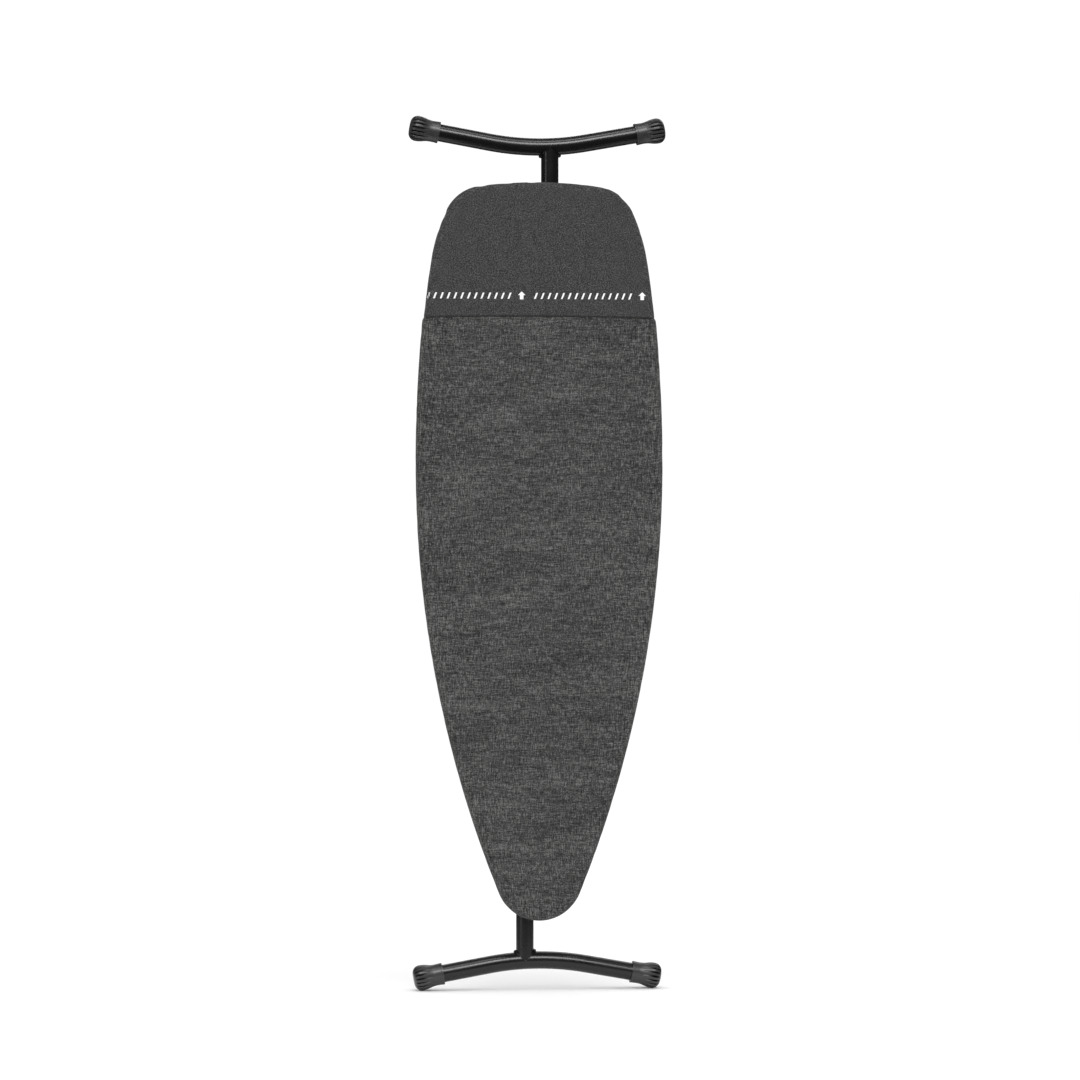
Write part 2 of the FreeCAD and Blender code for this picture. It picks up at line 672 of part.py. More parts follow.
def make_lever():
    """Rod, handle and trip bar; squeezing the handle lifts the axle out of its notch."""
    centre = ("lever_x", "lever_y")
    keep(rod("lever_shaft", "z", "lever_r", centre, ("lever_low", "lever_high")), "lever_rod")
    keep(box("trip_strip", ("trip_x", "trip_x + trip_t"), (PLATE_BACK + " + 0.6", PLATE_BACK + " + 4.8"),
             ("382", "612")), "trip_bar")
    for name, low, high in (("lever_finger_lower", "404", "408"), ("lever_finger_upper", "586", "590")):
        plate = box(name + "_plate", ("trip_x + trip_t", "lever_x"),
                    (PLATE_BACK + " + 2", "lever_y"), (low, high))
        core = rod(name + "_core", "z", "lever_r", centre, (low + " - 1", high + " + 1"))
        keep(cut(name, plate, core), name)
    core = rod("lever_arm_core", "z", "lever_r", centre, ("lever_low", "lever_high"))
    keep(cut("lever_arm", lever_piece("lever_arm_strip", (0, 58), 3, 24), core), "lever_arm")
    shell = lever_piece("lever_grip_block", (30, 74), 12, 40)
    rounded = doc.addObject("Part::Fillet", "lever_grip_round")
    rounded.Base = shell
    rounded.Edges = [(edge, 5.0, 5.0) for edge in (1, 3, 5, 7)]
    keep(cut("lever_grip", rounded, lever_piece("lever_grip_pocket", (20, 58), 3, 24)), "lever_grip")


def make_lock():
    """A tongue that slides across the axle's path to hold the board folded."""
    x_span = ("-lock_x - 1", "-lock_x + 1")
    keep(box("lock_strip", x_span, ("pivot_y + 7.5", "rail_back + 11"), ("lock_z - 5", "lock_z + 5")),
         "lock_slide")
    keep(box("lock_button", ("-lock_x - 5", "-lock_x + 1"), ("rail_back + 11", "rail_back + 17"),
             ("lock_z - 8", "lock_z + 8")), "lock_knob")


# ---- Build, check and write -------------------------------------------------

make_cover()
make_elastic()
make_layers()
make_rim()
make_braces()
make_rail(-1)
make_rail(1)
make_pivot_axle()
make_leg_rest("leg_rest_upper", "leg_x", "1424", "1442")
make_leg_rest("leg_rest_lower", "-leg_x", "196", "214")
make_lever_clip("lever_clip_upper", "lever_high - 18", "lever_high - 6")
make_lever_clip("lever_clip_lower", "lever_low + 6", "lever_low + 18")
make_lever_spring()
make_lock_guide()
make_front_leg()
make_rear_leg()
make_shoe(-1)
make_shoe(1)
make_lever()
make_lock()
doc.recompute()

for item in doc.Objects:
    if "Invalid" in item.State or "Error" in item.State:
        raise RuntimeError("%s did not compute: %s" % (item.Name, item.State))
for item in nodes:
    if item.Shape.isNull() or not item.Shape.isValid():
        raise RuntimeError("%s has no valid shape" % item.Label)

os.makedirs("parts", exist_ok=True)
for item in nodes:
    item.Shape.exportStep("parts/%s.step" % item.Label)

whole = FreeCAD.BoundBox()
for item in nodes:
    whole.add(item.Shape.BoundBox)
print("%d sub-parts, box %s" % (len(nodes), whole))
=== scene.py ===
import json
import math
from bisect import bisect_left

import bmesh
import bpy
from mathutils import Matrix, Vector, noise
from mathutils.bvhtree import BVHTree


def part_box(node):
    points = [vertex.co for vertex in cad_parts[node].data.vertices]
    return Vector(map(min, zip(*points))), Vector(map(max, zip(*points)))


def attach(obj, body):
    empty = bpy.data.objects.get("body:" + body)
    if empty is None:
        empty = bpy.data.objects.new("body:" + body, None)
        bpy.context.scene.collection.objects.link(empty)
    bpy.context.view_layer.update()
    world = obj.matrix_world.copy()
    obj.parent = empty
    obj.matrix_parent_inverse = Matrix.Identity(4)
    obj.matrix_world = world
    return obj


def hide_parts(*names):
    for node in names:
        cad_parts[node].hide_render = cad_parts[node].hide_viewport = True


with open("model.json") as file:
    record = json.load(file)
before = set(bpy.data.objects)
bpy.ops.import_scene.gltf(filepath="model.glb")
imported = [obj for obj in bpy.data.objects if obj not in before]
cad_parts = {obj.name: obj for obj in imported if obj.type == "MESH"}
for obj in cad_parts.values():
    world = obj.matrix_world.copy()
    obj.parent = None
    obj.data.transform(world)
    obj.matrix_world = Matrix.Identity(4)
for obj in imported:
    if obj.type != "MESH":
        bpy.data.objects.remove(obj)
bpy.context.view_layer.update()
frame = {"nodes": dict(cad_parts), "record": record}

MM = 0.001

# All lengths are in metres and all angles in degrees, unless a name or a comment says otherwise.

# Outline of the board: six tangent arcs from the wide end to the nose, as (radius, last heading).
BOARD_TOP = 1.4783
ARCS = ((0.800, 7.96), (0.078, 65.6), (0.360, 81.5), (2.500, 90.0), (2.080, 112.08), (0.080, 180.0))
FRONT = -0.03475
SEAM_Z = 1.2330
SEAM_DIP = 0.0028
SEAM_HALF_WIDTH = 0.216

# Legs, foot bars and caps.
TUBE_RADIUS = 0.016
LEG_DEPTH = 0.0115
BAR_RADIUS = 0.505
BAR_SLOPE = 10.2
LOW_BAR_Z = 0.05355
HIGH_BAR_Z = 1.5460
LOW_TIP = Vector((0.22161, 0.02179))
HIGH_TIP = Vector((0.22918, 1.57913))
# Flutes on the caps: how many, where along a cap they start, and the radius of their floor; these place
# the painted shade in the flutes.
FLUTES = 18
FLUTE_START = (-0.024, -0.014)
FLUTE_FLOOR = (0.0170, 0.0200)

# The four cap axes fall on one line once both ends and both bars are folded onto each other.
CAP_SLOPE = math.tan(math.radians(BAR_SLOPE))
CAP_MIDDLE = (LOW_TIP.y + HIGH_TIP.y + CAP_SLOPE * (LOW_TIP.x - HIGH_TIP.x)) / 2
CAP_X = (LOW_TIP.x + HIGH_TIP.x) / 2
CAP_RISE = CAP_MIDDLE - LOW_TIP.y + CAP_SLOPE * (CAP_X - LOW_TIP.x)


# ---- Materials --------------------------------------------------------------

class Nodes:
    """Short calls for building one material's node tree."""

    def __init__(self, name):
        self.material = bpy.data.materials.new(name)
        self.material.use_nodes = True
        self.tree = self.material.node_tree
        self.shader = self.tree.nodes["Principled BSDF"]
        self.place = self.add("ShaderNodeTexCoord").outputs["Object"]

    def add(self, kind, **settings):
        node = self.tree.nodes.new(kind)
        for key, value in settings.items():
            setattr(node, key, value)
        return node

    def link(self, source, target):
        self.tree.links.new(source, target)

    def feed(self, socket, value):
        """Drive one of the shader's sockets."""
        self.link(value, self.shader.inputs[socket])

    def scaled(self, scale):
        """The object's own coordinates, stretched."""
        node = self.add("ShaderNodeMapping")
        self.link(self.place, node.inputs["Vector"])
        node.inputs["Scale"].default_value = scale
        return node.outputs["Vector"]

    def noise(self, scale, detail, rough):
        """Noise with so many cells a metre along X, Y and Z."""
        node = self.add("ShaderNodeTexNoise")
        self.link(self.scaled(scale), node.inputs["Vector"])
        node.inputs["Scale"].default_value = 1.0
        node.inputs["Detail"].default_value = detail
        node.inputs["Roughness"].default_value = rough
        return node.outputs["Fac"]

    def math(self, operation, first, second=None):
        node = self.add("ShaderNodeMath", operation=operation)
        for socket, value in zip(node.inputs, (first, second)):
            if value is None:
                continue
            if isinstance(value, (int, float)):
                socket.default_value = value
            else:
                self.link(value, socket)
        return node.outputs["Value"]

    def weighted(self, *parts):
        """Sum of values, each given with its weight."""
        total = None
        for value, weight in parts:
            share = self.math("MULTIPLY", value, weight)
            total = share if total is None else self.math("ADD", total, share)
        return total

    def spread(self, value, low, high, new_low, new_high):
        """Map low..high onto new_low..new_high, and hold the ends."""
        node = self.add("ShaderNodeMapRange")
        self.link(value, node.inputs["Value"])
        limits = (("From Min", low), ("From Max", high), ("To Min", new_low), ("To Max", new_high))
        for name, number in limits:
            node.inputs[name].default_value = number
        return node.outputs["Result"]

    def ramp(self, value, stops):
        """Colour from stops of (position, colour)."""
        node = self.add("ShaderNodeValToRGB")
        self.link(value, node.inputs["Fac"])
        elements = node.color_ramp.elements
        while len(elements) < len(stops):
            elements.new(0.5)
        for element, (position, colour) in zip(elements, stops):
            element.position = position
            element.color = (*colour, 1.0)
        return node.outputs["Color"]

    def bump(self, height, strength, distance):
        node = self.add("ShaderNodeBump")
        self.link(height, node.inputs["Height"])
        node.inputs["Strength"].default_value = strength
        node.inputs["Distance"].default_value = distance
        self.feed("Normal", node.outputs["Normal"])

    def set(self, **values):
        """Set constants on the shader, and hand back the finished material."""
        for key, value in values.items():
            self.shader.inputs[key.replace("_", " ")].default_value = value
        return self.material


def grey(level, warm=0.0):
    """A grey, or a slightly warm grey."""
    return (level * (1 + warm), level, level * (1 - warm))


def woven_height(nodes, pitch):
    """Height of a plain weave: threads that pass over and under each other."""
    parts = nodes.add("ShaderNodeSeparateXYZ")
    nodes.link(nodes.scaled((math.pi / pitch,) * 3), parts.inputs["Vector"])
    warp = nodes.math("SINE", parts.outputs["X"])
    weft = nodes.math("SINE", parts.outputs["Z"])
    return nodes.math("ABSOLUTE", nodes.math("MULTIPLY", warp, weft))


def main_cloth():
    """Melange cloth: slubs along the warp and the weft over cloudy patches."""
    nodes = Nodes("cover_cloth")
    warp = nodes.noise((600, 600, 70), 2.0, 0.6)
    weft = nodes.noise((70, 300, 600), 2.0, 0.6)
    cloud = nodes.noise((9, 9, 22), 3.0, 0.5)
    band = nodes.noise((4, 4, 70), 2.0, 0.5)
    speck = nodes.noise((480, 480, 480), 2.0, 0.6)
    total = nodes.weighted((warp, 0.31), (weft, 0.25), (cloud, 0.07), (band, 0.05), (speck, 0.32))
    dark, middle, light = grey(0.005, 0.01), grey(0.048, 0.016), grey(0.176, 0.02)
    nodes.feed("Base Color", nodes.ramp(total, ((0.39, dark), (0.50, middle), (0.61, light))))
    height = nodes.math("ADD", woven_height(nodes, 0.0011), nodes.math("MULTIPLY", total, 1.6))
    nodes.bump(height, 0.35, 0.0005)
    return nodes.set(Roughness=0.92, Sheen_Weight=0.08, Sheen_Roughness=0.5, Specular_IOR_Level=0.25)


def heat_cloth():
    """Finer, plainer cloth of the heat-resistant zone."""
    nodes = Nodes("heat_cloth")
    fine = nodes.noise((520, 520, 520), 2.0, 0.6)
    cloud = nodes.noise((60, 60, 60), 2.0, 0.5)
    total = nodes.weighted((fine, 0.92), (cloud, 0.08))
    stops = ((0.34, grey(0.010)), (0.50, grey(0.037)), (0.66, grey(0.102)))
    nodes.feed("Base Color", nodes.ramp(total, stops))
    height = nodes.math("ADD", woven_height(nodes, 0.0008), fine)
    nodes.bump(height, 0.25, 0.0004)
    return nodes.set(Roughness=0.85, Sheen_Weight=0.15, Sheen_Roughness=0.4, Specular_IOR_Level=0.3)


def print_ink():
    """White ink that lets a little of the weave through."""
    nodes = Nodes("print_ink")
    wear = nodes.noise((900, 900, 900), 2.0, 0.5)
    nodes.feed("Base Color", nodes.ramp(wear, ((0.25, grey(0.70)), (0.45, grey(0.93)))))
    nodes.bump(woven_height(nodes, 0.0008), 0.2, 0.0003)
    return nodes.set(Roughness=0.8)


def thread(name, level, pitch):
    """Twisted or braided yarn."""
    nodes = Nodes(name)
    turns = nodes.noise((1 / pitch, 1 / pitch, 1 / pitch), 2.0, 0.5)
    nodes.feed("Base Color", nodes.ramp(turns, ((0.35, grey(level * 0.6)), (0.6, grey(level * 1.5)))))
    nodes.bump(turns, 0.5, 0.0004)
    return nodes.set(Roughness=0.85, Sheen_Weight=0.1)


def foam():
    """Open-cell foam, slightly yellowed."""
    nodes = Nodes("foam")
    cells = nodes.add("ShaderNodeTexVoronoi")
    nodes.link(nodes.scaled((700, 700, 700)), cells.inputs["Vector"])
    cells.inputs["Scale"].default_value = 1.0
    distance = cells.outputs["Distance"]
    stops = ((0.0, (0.42, 0.40, 0.35)), (0.7, (0.66, 0.64, 0.58)))
    nodes.feed("Base Color", nodes.ramp(distance, stops))
    nodes.bump(distance, 0.6, 0.0006)
    return nodes.set(Roughness=0.95, Specular_IOR_Level=0.2)


def felt():
    """Needled grey felt: matted fibres in every direction."""
    nodes = Nodes("felt")
    fibre = nodes.noise((260, 260, 700), 6.0, 0.7)
    patch = nodes.noise((22, 22, 22), 3.0, 0.5)
    total = nodes.weighted((fibre, 0.75), (patch, 0.25))
    stops = ((0.36, (0.20, 0.20, 0.19)), (0.64, (0.42, 0.41, 0.39)))
    nodes.feed("Base Color", nodes.ramp(total, stops))
    nodes.bump(total, 0.6, 0.0008)
    return nodes.set(Roughness=0.97, Sheen_Weight=0.2, Specular_IOR_Level=0.2)


def powder_coat(name, level, rough):
    """Black powder coat: a faint orange peel, and slightly rougher patches from handling."""
    nodes = Nodes(name)
    peel = nodes.noise((520, 520, 520), 2.0, 0.5)
    patch = nodes.noise((14, 14, 14), 4.0, 0.6)
    nodes.feed("Base Color", nodes.ramp(patch, ((0.3, grey(level * 0.8)), (0.7, grey(level * 1.25)))))
    nodes.feed("Roughness", nodes.spread(patch, 0.3, 0.7, rough * 0.85, rough * 1.2))
    nodes.bump(peel, 0.002, 0.0001)
    return nodes.set(Specular_IOR_Level=0.5)


def moulded(name, level, rough):
    """Moulded plastic with a fine spark-eroded grain."""
    nodes = Nodes(name)
    grain = nodes.noise((1500, 1500, 1500), 3.0, 0.6)
    patch = nodes.noise((40, 40, 40), 3.0, 0.5)
    nodes.feed("Base Color", nodes.ramp(patch, ((0.3, grey(level * 0.85)), (0.7, grey(level * 1.15)))))
    nodes.feed("Roughness", nodes.spread(grain, 0.3, 0.7, rough * 0.9, rough * 1.15))
    nodes.bump(grain, 0.12, 0.0002)
    return nodes.set(Specular_IOR_Level=0.5)


def flute_shade_mask(nodes):
    """One inside the flutes of the four caps and nothing elsewhere: the mask of the painted shade down in
    the flutes.
    """
    slope = math.radians(BAR_SLOPE)
    parts = nodes.add("ShaderNodeSeparateXYZ")
    nodes.link(nodes.place, parts.inputs["Vector"])
    side = nodes.math("SUBTRACT", nodes.math("ABSOLUTE", parts.outputs["X"]), CAP_X)
    rise = nodes.math("ABSOLUTE", nodes.math("SUBTRACT", parts.outputs["Z"], CAP_MIDDLE))
    rise = nodes.math("SUBTRACT", rise, CAP_RISE)
    depth = nodes.math("SUBTRACT", parts.outputs["Y"], LEG_DEPTH)
    along = nodes.weighted((side, math.cos(slope)), (rise, math.sin(slope)))
    across = nodes.weighted((rise, math.cos(slope)), (side, -math.sin(slope)))
    turn = nodes.math("MULTIPLY", nodes.math("ARCTAN2", depth, across), FLUTES)
    groove = nodes.spread(nodes.math("COSINE", turn), 0.0, -0.7, 0.0, 1.0)
    started = nodes.spread(along, *FLUTE_START, 0.0, 1.0)
    radius = nodes.math("SQRT", nodes.weighted((depth, depth), (across, across)))
    outside = nodes.spread(radius, *FLUTE_FLOOR, 0.0, 1.0)
    return nodes.math("MULTIPLY", nodes.math("MULTIPLY", groove, started), outside)


def cap_plastic():
    """Satin moulded caps, with painted shade down in their flutes: darker colour and weaker reflection
    there.
    """
    nodes = Nodes("cap_plastic")
    grain = nodes.noise((1500, 1500, 1500), 3.0, 0.6)
    patch = nodes.noise((40, 40, 40), 3.0, 0.5)
    painted_flute_shade = flute_shade_mask(nodes)
    # Painted shade: the colour drops to near black down in the flutes, over the random patches of tone.
    shade = nodes.math("ADD", nodes.weighted((patch, 0.3), (painted_flute_shade, -0.85)), 0.7)
    stops = ((0.0, grey(0.0005)), (0.75, grey(0.026)), (1.0, grey(0.033)))
    nodes.feed("Base Color", nodes.ramp(shade, stops))
    nodes.feed("Roughness", nodes.spread(grain, 0.3, 0.7, 0.33, 0.41))
    # Painted shade: the flutes also reflect less, as if shaded.
    nodes.feed("Specular IOR Level", nodes.spread(painted_flute_shade, 0.0, 1.0, 0.6, 0.04))
    nodes.bump(grain, 0.03, 0.0002)
    return nodes.material


def zinc():
    """Bright zinc plate with faint turning marks."""
    nodes = Nodes("zinc_steel")
    spangle = nodes.noise((90, 90, 90), 5.0, 0.6)
    scratch = nodes.noise((900, 120, 900), 3.0, 0.6)
    stops = ((0.3, (0.50, 0.51, 0.52)), (0.7, (0.68, 0.69, 0.69)))
    nodes.feed("Base Color", nodes.ramp(spangle, stops))
    nodes.feed("Roughness", nodes.spread(scratch, 0.3, 0.7, 0.24, 0.42))
    nodes.bump(scratch, 0.1, 0.0002)
    return nodes.set(Metallic=1.0)


MATERIALS = {
    "cover_cloth": main_cloth(),
    "heat_cloth": heat_cloth(),
    "elastic": thread("elastic", 0.018, 0.0012),
    "foam": foam(),
    "felt": felt(),
    "leg_paint": powder_coat("leg_paint", 0.0035, 0.27),
    "frame_paint": powder_coat("frame_paint", 0.010, 0.34),
    "cap_plastic": cap_plastic(),
    "nylon": moulded("nylon", 0.016, 0.45),
    "zinc_steel": zinc(),
}
INK = print_ink()
YARN = thread("yarn", 0.05, 0.0008)
# Near-black yarn of the seam thread; it also stands in for the shade in the seam's crease.
SEAM_SHADE_YARN = thread("seam_shade_yarn", 0.008, 0.0006)


# ---- Outline and mesh helpers -----------------------------------------------

ARC_STEP = 0.001
JOIN_DISTANCE = 0.0002

# The face is meshed from a spine along the board's middle line, between these two heights.
SPINE_LOW = 0.225
SPINE_HIGH = 1.370


def outline(count):
    """Points round the whole outline, evenly spaced: (position, outward direction), both in X and Z."""
    half = []
    x, z, start = 0.0, BOARD_TOP, 0.0
    for radius, last in ARCS:
        end = math.radians(last)
        centre = (x - radius * math.sin(start), z - radius * math.cos(start))
        steps = max(4, int(radius * (end - start) / ARC_STEP))
        for step in range(steps):
            turn = start + (end - start) * step / steps
            half.append((centre, radius, turn))
        x = centre[0] + radius * math.sin(end)
        z = centre[1] + radius * math.cos(end)
        start = end
    half.append((centre, radius, start))
    right = []
    for centre, radius, turn in half:
        out = Vector((math.sin(turn), math.cos(turn)))
        right.append((Vector((centre[0] + radius * out.x, centre[1] + radius * out.y)), out))
    left = [(Vector((-p.x, p.y)), Vector((-n.x, n.y))) for p, n in reversed(right)]
    ring = right + left[1:-1]
    return resample(ring, count)


def resample(ring, count):
    """The same closed line with evenly spaced points."""
    lengths = [0.0]
    for (a, _), (b, _) in zip(ring, ring[1:] + ring[:1]):
        lengths.append(lengths[-1] + (b - a).length)
    result, index = [], 0
    for step in range(count):
        goal = lengths[-1] * step / count
        while lengths[index + 1] < goal:
            index += 1
        share = (goal - lengths[index]) / max(lengths[index + 1] - lengths[index], 1e-9)
        (a, first), (b, second) = ring[index], ring[(index + 1) % len(ring)]
        result.append((a.lerp(b, share), first.lerp(second, share).normalized()))
    return result


def make_object(name, verts, faces, material, smooth=True):
    """A mesh object in the scene, with one material."""
    mesh = bpy.data.meshes.new(name)
    mesh.from_pydata([tuple(v) for v in verts], [], faces)
    mesh.validate()
    mesh.polygons.foreach_set("use_smooth", [smooth] * len(mesh.polygons))
    mesh.materials.append(material)
    item = bpy.data.objects.new(name, mesh)
    bpy.context.scene.collection.objects.link(item)
    return item


def apply_modifiers(item):
    """Freeze an object's modifiers into its mesh."""
    bpy.context.view_layer.update()
    graph = bpy.context.evaluated_depsgraph_get()
    mesh = bpy.data.meshes.new_from_object(item.evaluated_get(graph))
    item.modifiers.clear()
    item.data = mesh
    return item


def join_doubles(item):
    """Merge points that coincide, and turn all faces outwards."""
    work = bmesh.new()
    work.from_mesh(item.data)
    bmesh.ops.remove_doubles(work, verts=work.verts[:], dist=JOIN_DISTANCE)
    bmesh.ops.recalc_face_normals(work, faces=work.faces[:])
    work.to_mesh(item.data)
    work.free()


def ramp_up(value, start, width):
    """Nothing up to start, then rising evenly to one over the width."""
    return min(max((value - start) / width, 0.0), 1.0)


def spine_point(edge):
    """The point of the spine that is nearest to a point of the edge."""
    return Vector((0.0, min(max(edge.y, SPINE_LOW), SPINE_HIGH)))


def ring_faces(rings, count):
    """Quads between closed rings of the same number of points."""
    faces = []
    for ring in range(rings - 1):
        for step in range(count):
            a = ring * count + step
            b = ring * count + (step + 1) % count
            faces.append((a, b, b + count, a + count))
    return faces


# ---- Cover ------------------------------------------------------------------

RING_POINTS = 900
FACE_STEPS = 16
EDGE_RADIUS = 0.010

# The hem lies behind the board: at rest, how far it may move, and how far back or forward.
HEM_DEPTH = -0.0101
HEM_REACH = 0.0045
HEM_FRONT = -0.0106
HEM_BACK = -0.0062
SETTLE_FRAMES = 24

# The cloth itself: its thickness, its width before it is folded round, and what the hem adds.
# The cloth's thickness.
CLOTH_THICKNESS = 0.0008

# Extra edges near the seam carry its crease.
SEAM_CUTS_MM = (-9, -5, -3, -1.8, -0.9, 0.9, 1.8, 3, 5, 9)
CREASE_DEPTH = 0.0011
CREASE_WIDTH = 0.0016


def cover_profile():
    """Section of the cover from the face over the edge to the hem: (inset, depth)."""
    profile = [(0.013, FRONT + 0.0003)]
    for turn in range(15, 91, 15):
        a = math.radians(turn)
        inset = EDGE_RADIUS - EDGE_RADIUS * math.sin(a)
        profile.append((inset, FRONT + 0.0005 + 0.009 * (1 - math.cos(a))))
    profile += [(0.0, -0.0220), (0.0001, -0.0185), (0.0003, -0.0155)]
    for turn in range(22, 91, 22):
        a = math.radians(turn)
        profile.append((0.0003 + 0.0045 * (1 - math.cos(a)), -0.0150 + 0.0046 * math.sin(a)))
    profile += [(inset, HEM_DEPTH) for inset in (0.009, 0.013, 0.017, 0.021, 0.025, 0.0285, 0.031)]
    return profile


def edge_bulge(z):
    """How far the main cloth stands out past the outline, just below the seam."""
    drop = SEAM_Z - z
    if drop < 0:
        return 0.0
    return 0.0020 * ramp_up(drop, 0.0, 0.008) * math.exp(-max(drop - 0.02, 0.0) / 0.12)


def pucker(point):
    """How far the drawn hem pulls the edge in at one of its folds, most of all round the wide end."""
    near_top = ramp_up(point.y, 1.33, 0.09)
    fold = max(noise.noise(Vector((point.x * 42.0, 0.0, point.y * 42.0))), 0.0)
    return 0.0026 * fold * (0.25 + 0.75 * near_top)


def cover_grid():
    """Cover before any gathering: face strips from the spine, then the profile's rings."""
    base = outline(RING_POINTS)
    profile = cover_profile()
    verts = []
    inner_inset = profile[0][0]
    for step in range(FACE_STEPS):
        share = step / FACE_STEPS
        for point, out in base:
            edge = point - out * inner_inset
            place = spine_point(edge).lerp(edge, share)
            sink = 0.0003 * share ** 4
            verts.append(Vector((place.x, FRONT - 0.0002 + sink, place.y)))
    for inset, depth in profile:
        for point, out in base:
            share = 1.0 - ramp_up(inset, 0.0, 0.012)
            place = point - out * (inset + (pucker(point) - edge_bulge(point.y)) * share)
            verts.append(Vector((place.x, depth, place.y)))
    return verts, ring_faces(FACE_STEPS + len(profile), RING_POINTS)


def pleat(index):
    """Height of the gathers along the hem: sharp ridges of uneven height, all round it."""
    turn = math.tau * index / RING_POINTS
    spot = Vector((math.cos(turn), math.sin(turn), 0.0)) * 15.0
    ridge = (1.0 - abs(noise.noise(spot * 1.9))) ** 5
    swell = 0.5 + 0.5 * noise.noise(spot * 0.35 + Vector((7.0, 3.0, 1.0)))
    return 0.0036 * ridge * (0.35 + 0.65 * swell)


def gather(item):
    """Cloth simulation: the hem has more cloth than its elastic, so it buckles into gathers."""
    count = RING_POINTS
    rings = len(item.data.vertices) // count
    pin = item.vertex_groups.new(name="pin")
    slack = item.vertex_groups.new(name="slack")
    for ring in range(rings):
        past = ring - FACE_STEPS
        hold = 1.0 if past < 3 else max(0.0, 0.55 - 0.09 * (past - 3))
        if ring == rings - 1:
            hold = 0.6
        loose = ramp_up(past, 7, 6.0)
        indices = list(range(ring * count, (ring + 1) * count))
        pin.add(indices, hold, "REPLACE")
        slack.add(indices, loose, "REPLACE")
    rest = [v.co.copy() for v in item.data.vertices]
    for index, vertex in enumerate(item.data.vertices):
        past = index // count - FACE_STEPS
        vertex.co.y += pleat(index % count) * ramp_up(past, 9, 5.0)
    cloth = item.modifiers.new("cloth", "CLOTH")
    settings = cloth.settings
    settings.quality = 6
    settings.mass = 0.25
    settings.tension_stiffness = 25
    settings.compression_stiffness = 25
    settings.shear_stiffness = 6
    settings.bending_stiffness = 0.25
    settings.effector_weights.gravity = 0.0
    settings.vertex_group_mass = "pin"
    settings.pin_stiffness = 2.0
    settings.vertex_group_shrink = "slack"
    settings.shrink_min = 0.0
    settings.shrink_max = -0.45
    cloth.collision_settings.use_collision = False
    for step in range(1, SETTLE_FRAMES + 1):
        bpy.context.scene.frame_set(step)
    apply_modifiers(item)
    bpy.context.scene.frame_set(1)
    item.vertex_groups.clear()
    hold_near(item, rest, HEM_REACH)


def hold_near(item, rest, reach):
    """Keep every point near where it started, clear of the rim tube and of the legs."""
    for index, vertex in enumerate(item.data.vertices):
        shift = vertex.co - rest[index]
        freedom = max(ramp_up(rest[index].y, -0.0220, 0.0070), 0.06)
        if shift.length > reach * freedom:
            shift *= reach * freedom / shift.length
        place = rest[index] + shift
        if rest[index].y > -0.0103:
            place.y = min(max(place.y, HEM_FRONT), HEM_BACK)
        place.y = max(place.y, FRONT - 0.0012)
        vertex.co = place


def bend_seam(item, way):
    """Bow the cloth so that its dipped seam lies level, or back again."""
    for vertex in item.data.vertices:
        vertex.co.z += way * SEAM_DIP * (vertex.co.x / SEAM_HALF_WIDTH) ** 2


def cut_mesh(item, height, keep_above=None):
    """Cut a mesh along a level plane, and drop one side of it if asked."""
    work = bmesh.new()
    work.from_mesh(item.data)
    everything = work.verts[:] + work.edges[:] + work.faces[:]
    bmesh.ops.bisect_plane(work, geom=everything, plane_co=(0, 0, height), plane_no=(0, 0, 1),
                           clear_inner=keep_above is True, clear_outer=keep_above is False)
    work.to_mesh(item.data)
    work.free()


def crease_at_seam(item):
    """Both cloths turn in at the seam."""
    for vertex in item.data.vertices:
        away = vertex.co.z - SEAM_Z
        if abs(away) < 0.012:
            depth = CREASE_DEPTH * math.exp(-(away / CREASE_WIDTH) ** 2)
            if vertex.co.y < FRONT + 0.003:
                vertex.co.y += depth
            else:
                vertex.co.x -= math.copysign(depth, vertex.co.x)


def make_cover():
    """Both cloths of the cover, as one gathered sheet cut in two at its seam."""
    verts, faces = cover_grid()
    whole = make_object("cover_work", verts, faces, MATERIALS["cover_cloth"])
    gather(whole)
    join_doubles(whole)
    bend_seam(whole, 1)
    for step in SEAM_CUTS_MM:
        cut_mesh(whole, SEAM_Z + step * MM)
    zone = whole.copy()
    zone.data = whole.data.copy()
    bpy.context.scene.collection.objects.link(zone)
    pieces = []
    for item, name, above in ((whole, "main_cover", False), (zone, "heat_zone_cover", True)):
        item.name = name
        item.data.name = name
        cut_mesh(item, SEAM_Z, above)
        crease_at_seam(item)
        bend_seam(item, -1)
        pieces.append(item)
    zone.data.materials[0] = MATERIALS["heat_cloth"]
    return pieces


def thicken(item, amount):
    """Give a cloth its thickness, inwards from its outer face."""
    solid = item.modifiers.new("thickness", "SOLIDIFY")
    solid.thickness = amount
    solid.offset = -1.0
    solid.use_even_offset = False


def joined_tree(items):
    """One search tree over several meshes."""
    verts, faces = [], []
    for item in items:
        shift = len(verts)
        verts += [vertex.co.copy() for vertex in item.data.vertices]
        faces += [tuple(k + shift for k in face.vertices) for face in item.data.polygons]
    return BVHTree.FromPolygons(verts, faces)


# ---- Print on the heat zone -------------------------------------------------

# One arrow and one row of dashes repeat along the band, at this period.
MARK_Z = 1.2700
MARK_HEIGHT = 0.011
PERIOD = 0.222
INK_LIFT = 0.00012

# Arrow: half widths of its stem, its head and its tip, and where the middle one stands.
ARROW_X = -0.034
ARROW_REACH = 0.235
STEM_HALF = 0.0033
HEAD_HALF = 0.0068
TIP_HALF = 0.0003

# Dashes after each arrow.
DASH_START = 0.0225
DASHES = 15
DASH_STEP = 0.0124
DASH_WIDTH = 0.0032
DASH_LEAN = 0.0042
DASH_REACH = 0.245


